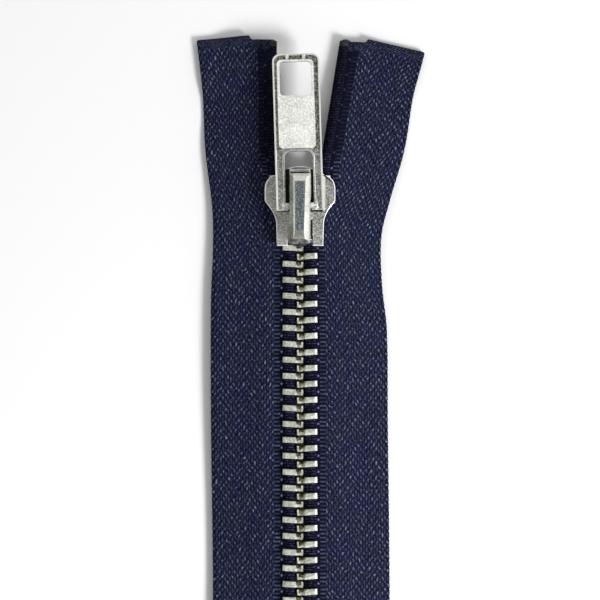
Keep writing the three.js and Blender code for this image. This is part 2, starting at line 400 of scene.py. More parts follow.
def weaveRungs(f, across, along, broken):
    # the rungs beside the teeth, their painted highlights and where they lie, and the stitch loops inside
    # them, which get painted highlights too
    zone = across.ramp(weave["rungFrom"] - 0.25, weave["rungFrom"] + 0.1)
    zone = zone * across.ramp(weave["rungTo"] + 0.2, weave["rungTo"] - 0.2)
    rungs = along / weave["rungPitch"]
    rung = (rungs.fraction() - 0.5).away().ramp(0.3, 0.08)
    light = rung * (0.08 + 0.42 * f.randomIn(rungs.floor(), 7.0)) * (0.3 + 0.7 * broken)
    loopUp = ((along / chain["pitch"]).fraction() - 0.5) * (chain["pitch"] / weave["loopHigh"])
    loopOut = (across - weave["loopAt"]) / weave["loopWide"]
    loop = (loopUp * loopUp + loopOut * loopOut).math("SQRT").ramp(1.0, 0.3)
    return light * zone, rung * zone, loop


def turnedEndLines(f, across, along):
    # the turned end's own fine diagonal, which leans the same way on both sides
    onRight = f.split(f.objectPlace())[0].above(chainX / mm)
    outwards = weave["columnWide"] - onRight * (2 * weave["columnWide"])
    lines = ((across * outwards + along) / weave["bandLines"]).fraction()
    return (lines - 0.5).away().ramp(0.32, 0.12)


def tapeFinish():
    # the map holds columns across and millimetres along, from the first tooth
    f = Finish("woven_tape")
    across, along, _ = f.split(f.add("ShaderNodeUVMap", {"uv_map": "weave"}))
    toFold = f.add("ShaderNodeAttribute", {"attribute_name": "toFold"}, out="Fac")
    fine = f.noise(9.0)
    broken = f.noise(2.6).ramp(0.42, 0.62)
    light, body = weaveFloats(f, across, along)
    rungLight, rungBody, loop = weaveRungs(f, across, along, broken)
    # plain is 1 where the floats are and 0 beside the teeth, and band is 1 on the turned end
    plain = 1 - across.ramp(weave["rungTo"] + 0.2, weave["rungTo"] - 0.2)
    band = toFold.ramp(weave["bandHigh"] + 0.2, weave["bandHigh"] - 0.1)
    # the edge of the free tail has fainter painted highlights and more painted shade than the edge beside
    # the teeth
    tail = 0.2 + 0.8 * toFold.ramp(weave["tailFrom"], weave["tailFrom"] + 5.0)

    light = light * plain + rungLight + loop * 0.75 * (1 - plain)
    light = light * (plain + (1 - plain) * tail)
    diagonal = turnedEndLines(f, across, along)
    light = light * (1 - band) + diagonal * 0.65 * band * fine * (0.2 + 0.8 * broken)
    light = light * (0.75 + 0.5 * fine)
    body = (body * plain + (rungBody * 0.5 + (1 - plain) * 0.1) * tail) * (1 - band * 0.6)
    tone = f.noise(0.35, 3.0).ramp(0.4, 0.68)
    yarn = f.blend(tone * 0.7, weave["yarn"], weave["violet"])
    # painted shade where the yarn leaves gaps, and painted highlights on the floats and rungs
    colour = f.blend(light, f.blend(body, weave["gapShade"], yarn), weave["crownHighlight"])
    # painted shade in the gaps between the loops of the outer edge
    notch = ((along / (weave["period"] / 2)).fraction() - 0.5).away().ramp(0.12, 0.4)
    notch = notch * across.ramp(weave["columns"] - 1.5, weave["columns"] - 0.5)
    colour = f.blend(notch * 0.8, colour, weave["gapShade"])
    fibres = f.noise(14.0, place=f.stretch((1, 0.25, 1)))
    height = body * 0.6 + light * 0.4 + fibres * 0.25
    return f.close(
        Base_Color=colour,
        Roughness=0.85,
        Specular_IOR_Level=0.08,
        Normal=f.bump(height, 0.09, 0.8),
    )


# The corded edge: a ribbed bead, wider on its inner side as far up as the teeth grip it, which goes a
# little past the cloth's end and is melted there.
cordShape = {
    "sides": 12,
    "ringStep": chain["pitch"] / 24,
    "ribPitch": chain["pitch"] / 6,
    "rib": 0.05,
    "wider": 0.4,
    "widerUntil": (41, 5),
    "endSize": 0.35,
    "endRound": 0.4,
    "past": 0.4,
    "film": 69.6,
    "fade": (49.0, 54.0),
}


def cordFinish():
    f = Finish("corded_edge")
    around, along, _ = f.split(f.add("ShaderNodeUVMap", {"uv_map": "weave"}))
    rib = (along / cordShape["ribPitch"] + around * 0.6).fraction()
    rib = (rib - 0.5).away().ramp(0.42, 0.1)
    specks = f.noise(3.4, 3.0, 0.6)
    # the specks, painted highlights on the ribs, fade in the free tail
    light = rib * specks.ramp(0.46, 0.64) * (0.85 - 0.5 * along.ramp(*cordShape["fade"]))
    fibres = f.noise(16.0)
    # painted shade between the ribs, and painted highlights in specks on them
    base = f.blend(rib, rgb(1, 2, 9), weave["cord"])
    colour = f.blend(light, base, rgb(62, 60, 98))
    # the cord's end is melted to a dull film, mottled with lighter specks as painted glints
    film = along.ramp(cordShape["film"], cordShape["film"] + 0.15)
    melted = f.blend(specks.ramp(0.35, 0.7), rgb(20, 21, 24), rgb(60, 63, 68))
    colour = f.blend(film, colour, melted)
    return f.close(
        Base_Color=colour,
        Roughness=0.8 - 0.4 * film,
        Specular_IOR_Level=0.06,
        Normal=f.bump(rib + fibres * 0.3, 0.06, 0.7),
    )


def metalFinish(name, dark, bright, grain, roughness, bumpHigh,
                grainSize=3.2, wear=0.5, metal=1.0, paler=None):
    # plated metal: cast or stamped grain, cloudy tone and fine scratches; a dull plate is less of a mirror
    # paler holds two places along the chain: the metal grows brighter from the first to the second
    f = Finish(name)
    fine = f.noise(grainSize, 3.0, 0.65)
    cloudy = f.noise(0.45)
    scratches = f.noise(11.0, 3.0, 0.7, f.stretch((1.0, 0.08, 1.0), 0.5)).ramp(0.6, 0.75)
    speckle = fine.ramp(0.38, 0.64)
    share = (speckle * grain + (1 - grain) * cloudy.ramp(0.3, 0.7)) * (1 - 0.2 * wear * scratches)
    if paler:
        start, end = (chainY / mm + y for y in paler)
        share = share + 0.4 * f.split(f.objectPlace())[1].ramp(start, end)
    colour = f.blend(share, dark, bright)
    rough = roughness + 0.16 * (speckle - 0.5) * grain + 0.12 * wear * scratches
    return f.close(
        Base_Color=colour,
        Metallic=metal,
        Roughness=rough,
        Normal=f.bump(fine + scratches * 0.15, bumpHigh, 0.9),
    )


# The middle of the cover's crest, painted darker as shade, measured from the slider's lower end.
crestShape = {"middle": (-0.04, 6.55), "half": (0.86, 4.35), "corner": 0.75, "soft": 0.35}


def crestFinish():
    # painted shade and a little more roughness in the middle, and polished round it, with no sharp line
    # between
    f = Finish("cap_crest_shaded_middle")
    across, along, _ = f.split(f.objectPlace())
    fine = f.noise(3.6, 3.0, 0.65)
    speckle = fine.ramp(0.38, 0.64)
    x, y = crestShape["middle"]
    halfX, halfY = crestShape["half"]
    corner, soft = crestShape["corner"], crestShape["soft"]
    outX = ((across - (chainX / mm + x)).away() - (halfX - corner)).math("MAXIMUM", 0.0)
    outY = ((along - (chainY / mm + chain["sliderY"] + y)).away() - (halfY - corner)).math("MAXIMUM", 0.0)
    edge = (outX * outX + outY * outY).math("SQRT") + (fine - 0.5) * soft
    shadedMiddle = edge.ramp(corner, corner - soft)
    middle = f.blend(speckle * 0.8 + 0.1, rgb(96, 106, 111), rgb(186, 195, 198))
    polished = f.blend(speckle * 0.5 + 0.2, rgb(196, 198, 192), rgb(236, 237, 228))
    return f.close(
        Base_Color=f.blend(shadedMiddle, polished, middle),
        Metallic=1.0,
        Roughness=0.28 + 0.1 * shadedMiddle + 0.1 * (speckle - 0.5),
        Normal=f.bump(fine, 0.013, 0.9),
    )


metals = {
    "teeth": dict(name="nickel_teeth", dark=rgb(180, 186, 170), bright=rgb(240, 243, 233),
                  grain=0.45, roughness=0.3, bumpHigh=0.01, grainSize=2.2, wear=0.4, metal=0.6),
    "head": dict(name="tooth_head", dark=rgb(104, 98, 74), bright=rgb(244, 244, 230),
                 grain=0.85, roughness=0.3, bumpHigh=0.01, grainSize=1.5, wear=0.2, metal=0.6),
    # the scoop's tarnish, darkened further as painted shade
    "scoop": dict(name="tooth_scoop_tarnish_and_shade", dark=rgb(30, 26, 14), bright=rgb(158, 148, 112),
                  grain=0.8, roughness=0.35, bumpHigh=0.01, grainSize=2.2, wear=0.2, metal=0.7),
    # paler metal on rounded edges and rim tops, which paints their highlights
    "rim": dict(name="painted_edge_highlight", dark=rgb(232, 233, 228), bright=rgb(253, 253, 250),
                grain=0.4, roughness=0.2, bumpHigh=0.004, grainSize=3.0, wear=0.4, metal=0.5),
    "cast": dict(name="cast_slider", dark=rgb(134, 136, 131), bright=rgb(246, 247, 240),
                 grain=0.75, roughness=0.38, bumpHigh=0.02, wear=0.3,
                 paler=(chain["sliderY"] + 6, chain["sliderY"])),
    # dark metal that paints shade on the slider's plate
    "paintedShade": dict(name="painted_shade_cast", dark=rgb(20, 20, 19), bright=rgb(58, 58, 54),
                   grain=0.7, roughness=0.5, bumpHigh=0.02, grainSize=5.0, wear=0.2),
    "cap": dict(name="pressed_cap", dark=rgb(196, 198, 192), bright=rgb(236, 237, 228),
                grain=0.4, roughness=0.28, bumpHigh=0.008, grainSize=3.4, wear=0.4),
    "capShadedSide": dict(name="cap_painted_shade_side", dark=rgb(104, 105, 94), bright=rgb(190, 191, 178),
                    grain=0.5, roughness=0.35, bumpHigh=0.01, wear=0.4),
    "nose": dict(name="cap_nose_painted_shade", dark=rgb(36, 38, 38), bright=rgb(150, 153, 150),
                 grain=0.6, roughness=0.3, bumpHigh=0.01, grainSize=1.6, wear=0.4),
    "pull": dict(name="cast_pull", dark=rgb(138, 140, 134), bright=rgb(246, 247, 240),
                 grain=0.75, roughness=0.36, bumpHigh=0.02, grainSize=3.4, wear=0.3),
    "groove": dict(name="pull_groove_painted_shade", dark=rgb(62, 63, 58), bright=rgb(190, 191, 182),
                   grain=0.9, roughness=0.45, bumpHigh=0.03, wear=0.2),
    "panel": dict(name="sandblasted_panel", dark=rgb(188, 189, 182), bright=rgb(246, 247, 240),
                  grain=0.7, roughness=0.6, bumpHigh=0.02, grainSize=3.6, wear=0.1, metal=0.25),
    "spring": dict(name="spring_steel", dark=rgb(120, 120, 118), bright=rgb(190, 190, 186),
                   grain=0.4, roughness=0.3, bumpHigh=0.01, grainSize=3.0, wear=0.6),
}
finishes = {"tape": tapeFinish(), "cord": cordFinish(), "crest": crestFinish()}
for key, facts in metals.items():
    finishes[key] = metalFinish(**facts)
print("materials made")


# Modelling helpers

selectModes = {"VERT": (True, False, False), "EDGE": (False, True, False), "FACE": (False, False, True)}


def onlyThis(obj):
    if bpy.context.object and bpy.context.object.mode == "EDIT":
        bpy.ops.object.mode_set(mode="OBJECT")
    bpy.ops.object.select_all(action="DESELECT")
    obj.select_set(True)
    bpy.context.view_layer.objects.active = obj


def addBlock(name, x, y, z):
    # a box given by its limits along each axis
    bpy.ops.object.select_all(action="DESELECT")
    middle = [(a + b) / 2 for a, b in (x, y, z)]
    size = [b - a for a, b in (x, y, z)]
    bpy.ops.mesh.primitive_cube_add(size=1, location=middle, scale=size)
    obj = bpy.context.object
    obj.name = name
    bpy.ops.object.transform_apply(location=True, rotation=True, scale=True)
    return obj


def pick(obj, kind, test):
    # selects what passes a test on its middle, and on a face's normal too, and stays in edit mode
    onlyThis(obj)
    mesh = obj.data
    for group in (mesh.vertices, mesh.edges, mesh.polygons):
        group.foreach_set("select", [False] * len(group))
    if kind == "VERT":
        for v in mesh.vertices:
            v.select = test(v.co)
    elif kind == "EDGE":
        for e in mesh.edges:
            a, b = (mesh.vertices[i].co for i in e.vertices)
            e.select = test((a + b) / 2, b - a)
    else:
        for p in mesh.polygons:
            p.select = test(p.center, p.normal)
    bpy.context.tool_settings.mesh_select_mode = selectModes[kind]
    bpy.ops.object.mode_set(mode="EDIT")


def pickAll(obj):
    pick(obj, "FACE", lambda c, n: True)


def cut(obj, at, normal):
    pickAll(obj)
    bpy.ops.mesh.bisect(plane_co=at, plane_no=normal)


def extrude(x=0, y=0, z=0):
    bpy.ops.mesh.extrude_region_move(TRANSFORM_OT_translate={"value": (x, y, z)})


def move(x=0, y=0, z=0):
    bpy.ops.transform.translate(value=(x, y, z))


def resize(x=1, y=1, z=1, centre=(0, 0, 0)):
    bpy.ops.transform.resize(value=(x, y, z), center_override=centre)


def withModifier(obj, kind, **settings):
    onlyThis(obj)
    modifier = obj.modifiers.new(kind.lower(), kind)
    for key, value in settings.items():
        setattr(modifier, key, value)
    bpy.ops.object.modifier_apply(modifier=modifier.name)


def roundEdges(obj, width, segments=2, angle=30, rim=-1, clamp=True):
    # rim is the material slot that the rounded edges get, with the paler metal that paints their
    # highlights
    withModifier(obj, "BEVEL", width=width, segments=segments, limit_method="ANGLE",
                 angle_limit=math.radians(angle), use_clamp_overlap=clamp, material=rim)


def giveFinishes(obj, *names):
    obj.data.materials.clear()
    for name in names:
        obj.data.materials.append(finishes[name])


def paint(slot):
    # gives the selected faces a material slot
    bpy.context.object.active_material_index = slot
    bpy.ops.object.material_slot_assign()


def combine(obj, other, operation):
    withModifier(obj, "BOOLEAN", operation=operation, object=other, solver="EXACT")
    bpy.data.objects.remove(other)


def shadeSmooth(obj, angle=35):
    onlyThis(obj)
    bpy.ops.object.shade_smooth_by_angle(angle=math.radians(angle))
    withModifier(obj, "WEIGHTED_NORMAL", keep_sharp=True)


def joinAll(objs, name):
    onlyThis(objs[0])
    for obj in objs:
        obj.select_set(True)
    bpy.ops.object.join()
    objs[0].name = name
    return objs[0]


def meshPiece(name, points, faces, places, flip):
    # a smooth piece built from given points, whose map holds a place across and along for each point
    mesh = bpy.data.meshes.new(name)
    mesh.from_pydata(points, [], faces)
    if flip:
        mesh.flip_normals()
    uv = mesh.uv_layers.new(name="weave")
    uv.data.foreach_set("uv", [c for loop in mesh.loops for c in places[loop.vertex_index]])
    mesh.shade_smooth()
    obj = bpy.data.objects.new(name, mesh)
    bpy.context.scene.collection.objects.link(obj)
    return obj


def settle(obj, finish, body, nodes, local=None):
    # puts the mesh in its place in metres, and gives the piece its finish and its body
    obj.data.transform(fromChain @ (local or Matrix.Identity(4)))
    obj.matrix_world = Matrix.Identity(4)
    if not obj.data.materials:
        obj.data.materials.append(finishes[finish])
    if body:
        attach(obj, body)
    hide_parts(*nodes)
    return obj


def copyOfNode(node, name, local=None):
    # a copy of a CAD node's mesh in the chain's millimetres, merged and with its flat faces whole
    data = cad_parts[node].data.copy()
    obj = bpy.data.objects.new(name, data)
    bpy.context.scene.collection.objects.link(obj)
    data.materials.clear()
    data.transform((fromChain @ (local or Matrix.Identity(4))).inverted())
    onlyThis(obj)
    if data.has_custom_normals:
        bpy.ops.mesh.customdata_custom_splitnormals_clear()
    pickAll(obj)
    bpy.ops.mesh.remove_doubles(threshold=0.001)
    bpy.ops.mesh.dissolve_limited(angle_limit=math.radians(1.5))
    bpy.ops.mesh.remove_doubles(threshold=0.04)
    bpy.ops.object.mode_set(mode="OBJECT")
    return obj


# Tapes: one sheet a side, turned under at the top end

cloth = {
    "thick": 0.44,
    "startsAt": 0.2,
    "rowStep": chain["pitch"] / 12,
    "turnRadius": 0.24,
    "turnedUnder": 6.0,
    "slope": 0.17,
    "levelUntil": 6.3,
    "bendSoft": 0.8,
    "ripple": 0.4,
    "scallop": 0.07,
    "scallopPitch": 1.24,
    "edgeThin": 0.55,
    "backShift": 0.6,
    "clear": 0.04,
    "foldZone": (60, 4.5),
    "endZone": (58, 11),
    "endAcross": (10, 5),
    "rippleAcross": (9.5, 5),
    "rippleUntil": (48, 8),
    "rippleWave": 10.5,
    "topLineFrom": 58,
    "underNarrower": 0.25,
    "blendFrom": -62,
    "blendTo": -49.8,
    "flat": (0.0131, 0.1483),
}


def weaveHeight(column, along):
    # the same floats as in the finish, as relief from 0 to 1
    whole = math.floor(column)
    fromMiddle = column - whole - 0.5
    zigzag = whole % (2 * weave["group"])
    steps = min(zigzag, 2 * weave["group"] - zigzag)
    turns = along / (weave["period"] / 2) + steps * 0.5
    fromCrown = turns - math.floor(turns) - 0.5
    floats = math.cos(math.pi * fromMiddle) * math.cos(math.pi * fromCrown) ** 0.5
    rungs = 0.5 + 0.5 * math.cos(2 * math.pi * (along / weave["rungPitch"] - 0.5))
    share = smooth((column - weave["rungTo"]) / 0.5)
    return floats * share + rungs * (1 - share) * 0.9


def tapeRise(side, x, y):
    # the cloth's height: level beside the teeth, and then down to the outer edge with a slight ripple
    over = x - cloth["levelUntil"]
    soft = (over + math.hypot(over, cloth["bendSoft"])) / 2
    lowest = cloth["thick"] / 2 + cloth["clear"]
    level = max(lowest, cordHeight(y) - cloth["slope"] * soft)
    # the turned end lies under the cloth and lifts it
    lift = lowest + 2 * cloth["turnRadius"] * ease(y, *cloth["foldZone"])
    lift += side["endLift"] * ease(y, *cloth["endZone"]) * (1 - ease(x, *cloth["endAcross"]))
    wave = 0.5 + 0.5 * math.sin((y + 12) / cloth["rippleWave"] + 1.3 * side["sign"])
    across, until = ease(x, *cloth["rippleAcross"]), ease(y, *cloth["rippleUntil"])
    return max(level + cloth["ripple"] * across * wave * (1 - until), lift)


def tapePoint(side, share, s):
    # where the cloth's middle is, and its normal, for a share across and a distance along
    r = cloth["turnRadius"]
    topEnd = chain["topEnd"]
    y = min(s, topEnd)
    under = max(0, s - topEnd - math.pi * r)
    inner = cordCentre(side, y - under) + cloth["startsAt"]
    outer = outerEdge(side, y - under) - cloth["underNarrower"] * smooth(under)
    x = inner + (outer - inner) * share
    edge = between(side["topLine"], x) - r - cloth["thick"] / 2
    first = cloth["topLineFrom"]
    y += (edge - topEnd) * ease(y, first, topEnd - first)
    z = tapeRise(side, x, y)
    past = s - topEnd
    if past <= 0:
        return x, y, z, 0.0, 1.0
    angle = min(past / r, math.pi)
    y += r * math.sin(angle) - under
    z -= r * (1 - math.cos(angle))
    return x, y, z, math.sin(angle), math.cos(angle)


def edgeLoops(along):
    # how far the loops of the outer edge stand out, large and small ones in turn
    turn = math.pi * along / cloth["scallopPitch"]
    return abs(math.sin(turn)) + 0.6 * abs(math.sin(2 * turn))


def foldDistance(s):
    # from the top end's fold; the hidden part counts half
    over = s - chain["topEnd"]
    return 0.5 * over if over >= 0 else -over


def tapePoints(name, rows, end):
    # the upper face's points and then the lower face's, with their places in the weave
    side = sides[name]
    last = 2 * weave["columns"]
    points = []
    places = []
    folds = []
    for face in (1, -1):
        for j in range(rows + 1):
            s = chain["lowEnd"] + (end - chain["lowEnd"]) * j / rows
            along = s - chain["firstTooth"][name]
            for i in range(last + 1):
                x, y, z, outY, outZ = tapePoint(side, i / last, s)
                shift = 0 if face > 0 else cloth["backShift"]
                high = weave["relief"] * weaveHeight(i / 2, along + shift)
                away = face * (cloth["thick"] / 2 - weave["relief"] + high)
                if i == last:
                    x += cloth["scallop"] * edgeLoops(along)
                    away *= cloth["edgeThin"]
                points.append((side["sign"] * x, y + outY * away, z + outZ * away))
                places.append((i / 2, along))
                folds.append(foldDistance(s))
    return points, places, folds


def tapeFaces(rows):
    # the cloth's two faces, and a rim that joins them
    last = 2 * weave["columns"]
    wide = last + 1
    layer = (rows + 1) * wide
    faces = []
    for j in range(rows):
        for i in range(last):
            a = j * wide + i
            faces.append((a, a + 1, a + wide + 1, a + wide))
            b = layer + a
            faces.append((b, b + wide, b + wide + 1, b + 1))
    rim = list(range(last))
    rim += [last + j * wide for j in range(rows)]
    rim += [rows * wide + i for i in range(last, 0, -1)]
    rim += [j * wide for j in range(rows, 0, -1)]
    for a, b in zip(rim, rim[1:] + rim[:1]):
        faces.append((b, a, layer + a, layer + b))
    return faces


def buildTape(name):
    end = chain["topEnd"] + math.pi * cloth["turnRadius"] + cloth["turnedUnder"]
    rows = round((end - chain["lowEnd"]) / cloth["rowStep"])
    points, places, folds = tapePoints(name, rows, end)
    obj = meshPiece(name + "_cloth", points, tapeFaces(rows), places, sides[name]["sign"] < 0)
    fold = obj.data.attributes.new("toFold", "FLOAT", "POINT")
    fold.data.foreach_set("value", folds)
    return settle(obj, "tape", None, [name + "_tape", name + "_lower_tape"])


def cordPoints(side, rings):
    # rings of points round the cord, with how far round and along each is
    low, high = chain["lowEnd"], chain["topEnd"] + cordShape["past"]
    count = cordShape["sides"]
    deep = cordShape["rib"] / 2
    points = []
    places = []
    for j in range(rings + 1):
        y = low + (high - low) * j / rings
        rib = math.cos(2 * math.pi * y / cordShape["ribPitch"])
        fromEnd = min(y - low, high - y)
        ends = min(1, cordShape["endSize"] + fromEnd / cordShape["endRound"])
        grow = (1 - deep + deep * rib) * ends
        wider = cordShape["wider"] * (1 - ease(y, *cordShape["widerUntil"]))
        for k in range(count):
            angle = 2 * math.pi * k / count
            inward = max(0, -math.cos(angle)) * wider
            x = cordCentre(side, y) + chain["cordHalfWidth"] * grow * math.cos(angle) - inward
            z = cordHeight(y) + chain["cordHalfHeight"] * grow * math.sin(angle)
            points.append((side["sign"] * x, y, z))
            places.append((k / count, y))
    return points, places


def buildCord(name):
    side = sides[name]
    long = chain["topEnd"] + cordShape["past"] - chain["lowEnd"]
    rings = round(long / cordShape["ringStep"])
    count = cordShape["sides"]
    points, places = cordPoints(side, rings)
    faces = []
    for j in range(rings):
        for k in range(count):
            a, b = j * count + k, j * count + (k + 1) % count
            faces.append((a, b, b + count, a + count))
    faces.append(tuple(range(count))[::-1])
    faces.append(tuple(rings * count + k for k in range(count)))
    obj = meshPiece(name + "_corded_edge", points, faces, places, side["sign"] > 0)
    return settle(obj, "cord", None, [name + "_lower_cord", name + "_cord_end"])


def bendAtStop(obj):
    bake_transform(obj)


for sideName in sides:
    tape = buildTape(sideName)
    cordPiece = buildCord(sideName)
    for piece in (tape, cordPiece):
        pickAll(piece)
        bpy.ops.mesh.normals_make_consistent(inside=False)
        bpy.ops.object.mode_set(mode="OBJECT")
        bendAtStop(piece)
print("tapes and corded edges made")


# Teeth

toothSize = {
    "legEnd": -1.0,
    "legBend": -0.6,
    "root": 0.95,
    "step": 1.4,
    "scoopEnd": 2.15,
    "tip": 2.5,
    "half": 0.47,
    "legHigh": 1.2,
    "grip": 0.62,
    "headHigh": 0.75,
    "scoopDeep": 0.22,
    "scoopFall": 0.2,
    "nib": 0.06,
    "edge": 0.11,
    "slantMore": 0.22,
    "slantLess": 0.12,
    "tipStep": 0.25,
    "tarnishAndShadeSlant": 0.9,
}


def modelTooth():
    t = toothSize
    h = t["half"]

    def onScoop(c):
        return t["step"] - 0.2 < c.x < t["scoopEnd"] and c.y > 0

    def onScoopSide(c):
        return t["step"] - 0.3 < c.x < t["scoopEnd"] + 0.02 and c.y > 0.4

    def tarnishedOrShaded(c):
        return t["step"] - t["tarnishAndShadeSlant"] * c.y < c.x < t["scoopEnd"] + 0.08

    tooth = addBlock("tooth_master", (t["root"], t["step"]), (-h, h), (-t["legHigh"], t["legHigh"]))
    giveFinishes(tooth, "teeth", "rim", "scoop", "head")
    for z in (t["grip"], -t["grip"]):
        cut(tooth, (0, 0, z), (0, 0, 1))
    # two legs that close on the cord
    pick(tooth, "FACE", lambda c, n: n.x < -0.9 and abs(c.z) > t["grip"])
    extrude(x=t["legBend"] - t["root"])
    extrude(x=t["legEnd"] - t["legBend"])
    resize(z=0.7)
    # the head is thinner than the legs
    pick(tooth, "FACE", lambda c, n: n.x > 0.9)
    resize(z=t["headHigh"] / t["legHigh"])
    extrude(x=t["scoopEnd"] - t["step"])
    extrude(x=t["tipStep"])
    extrude(x=t["tip"] - t["scoopEnd"] - t["tipStep"])
    resize(y=0.9, z=0.7)
    # the root and the step from leg to head slant
    slants = (("root", 1, -t["slantLess"]), ("root", -1, t["slantMore"]),
              ("step", 1, -t["slantMore"]), ("step", -1, t["slantLess"]))
    for place, way, far in slants:
        pick(tooth, "VERT", lambda v: abs(v.x - t[place]) < 0.01 and v.y * way > 0)
        move(x=far)
    # a scoop on one half of the head, and a nib on its other side
    cut(tooth, (0, -0.04, 0), (0, 1, 0))
    for way in (1, -1):
        pick(tooth, "FACE", lambda c, n: n.z * way > 0.9 and onScoop(c))
        bpy.ops.mesh.inset(thickness=0.03)
        move(z=-way * t["scoopDeep"])
        pick(tooth, "VERT", lambda v: v.z * way > 0.2 and onScoopSide(v))
        move(z=-way * t["scoopFall"])
    # the nib reaches into the scoop of the tooth below
    pick(tooth, "FACE", lambda c, n: n.y < -0.9 and t["step"] < c.x < t["tip"] - 0.1)
    bpy.ops.mesh.inset(thickness=0.1)
    move(y=-t["nib"])
    resize(z=0.6)
    roundEdges(tooth, t["edge"], 2, 30, 1)
    # the head is tarnished up to the slanting step, and darker still on the scoop's side, with painted
    # shade
    pick(tooth, "FACE", lambda c, n: tarnishedOrShaded(c) and n.y > -0.5)
    paint(3)
    pick(tooth, "FACE", lambda c, n: tarnishedOrShaded(c) and c.y > 0.03)
    paint(2)
    shadeSmooth(tooth, 40)
    return tooth


def toothPlace(name, index):
    side = sides[name]
    y = chain["firstTooth"][name] + chain["pitch"] * index
    near = 0.01
    lean = math.atan((cordCentre(side, y + near) - cordCentre(side, y - near)) / (2 * near))
    turn = lean - chain["droop"] + math.radians(dice.uniform(-0.7, 0.7))
    at = Vector((side["sign"] * cordCentre(side, y), y + dice.uniform(-0.03, 0.03), chain["height"]))
    flip = Matrix.Diagonal((-side["sign"], 1, 1, 1))
    return Matrix.Translation(at) @ Matrix.Rotation(-side["sign"] * turn, 4, "Z") @ flip


def buildTeeth(master, name):
    for first in range(0, chain["teeth"], chain["perPiece"]):
        parts = []
        for index in range(first, min(first + chain["perPiece"], chain["teeth"])):
            data = master.data.copy()
            data.transform(toothPlace(name, index))
            if sides[name]["sign"] > 0:
                data.flip_normals()
            one = bpy.data.objects.new("one_tooth", data)
            bpy.context.scene.collection.objects.link(one)
            parts.append(one)
        number = f"{first // chain['perPiece'] + 1:02d}"
        piece = joinAll(parts, f"{name}_metal_teeth_{number}")
        settle(piece, "teeth", name + "_side", [f"{name}_teeth_{number}"])


toothMaster = modelTooth()
for sideName in sides:
    buildTeeth(toothMaster, sideName)
bpy.data.objects.remove(toothMaster)
print("teeth made")


# Stops

stops = {
    "topLow": 46.05,
    "topHigh": 47.45,
    "topHalf": 0.95,
    "topHalfHigh": 1.1,
    "topFlat": 0.35,
    "topDimple": 0.12,
    "bottomHalf": 3.1,
    "bottomHalfHigh": 1.3,
    "bottomLong": 2.2,
    "bottomFlat": 2.2,
    "bottomGroove": 0.25,
    "bottomDimple": 0.1,
    "edge": 0.16,
}


def buildTopStop(name):
    side = sides[name]
    middle = side["sign"] * cordCentre(side, (stops["topLow"] + stops["topHigh"]) / 2)
    w, h = stops["topHalf"], stops["topHalfHigh"]
    stop = addBlock(name + "_stop_clip", (-w, w), (stops["topLow"], stops["topHigh"]), (-h, h))
    flat = stops["topFlat"]
    for x in (-flat, flat):
        cut(stop, (x, 0, 0), (1, 0, 0))
    pick(stop, "VERT", lambda v: abs(v.x) > w - 0.01)
    resize(z=0.6)
    pick(stop, "FACE", lambda c, n: n.z > 0.9 and abs(c.x) < flat)
    bpy.ops.mesh.inset(thickness=stops["topDimple"])
    move(z=-stops["topDimple"])
    roundEdges(stop, stops["edge"], 3)
    shadeSmooth(stop)
    place = Matrix.Translation((middle, 0, chain["height"]))
    settle(stop, "teeth", name + "_side", [name + "_top_stop"], place)


def buildBottomStop():
    low, high = chain["stopTop"] - stops["bottomLong"], chain["stopTop"]
    w, h = stops["bottomHalf"], stops["bottomHalfHigh"]
    stop = addBlock("bottom_stop_clip", (-w, w), (low, high), (-h, h))
    flat, groove = stops["bottomFlat"], stops["bottomGroove"]
    for x in (-flat, -groove, groove, flat):
        cut(stop, (x, 0, 0), (1, 0, 0))
    pick(stop, "VERT", lambda v: abs(v.x) > w - 0.01)
    resize(z=0.62)
    pick(stop, "FACE", lambda c, n: abs(n.z) > 0.9 and abs(c.x) < groove)
    resize(z=0.82)
    pick(stop, "FACE", lambda c, n: n.z > 0.9 and groove < abs(c.x) < flat)
    bpy.ops.mesh.inset(thickness=0.25, use_individual=True)
    move(z=-stops["bottomDimple"])
    roundEdges(stop, stops["edge"], 3)
    shadeSmooth(stop)
    place = Matrix.Translation((0, 0, chain["height"]))
    settle(stop, "teeth", "root", ["bottom_stop"], place)


for sideName in sides:
    buildTopStop(sideName)
buildBottomStop()
print("stops made")


# Slider

# Places are measured from the slider's lower end. The painted shade beside the cover and the lug are half
# a width, lower and upper limit, the arms' painted shade is half a width and lower limit, and the strip of
# painted highlight and the seam's painted shade are left, right, lower and upper limit.
slider = {
    "edge": 0.15,
    "pivotAt": 6.75,
    "pivotZ": 5.7,
    "plateTop": 4.7,
    "paintedShade": (2.5, 6.2, 13.3),
    "armShade": (3.85, 5.8),
    "lug": (1.75, 12.35, 13.35),
    "ridgeHighlight": (3.6, 4.3, 6.0, 12.0),
    "seamShade": (1.8, 2.15, 0.3, 4.4),
}
sliderPlace = Matrix.Translation((0, chain["sliderY"], 0))


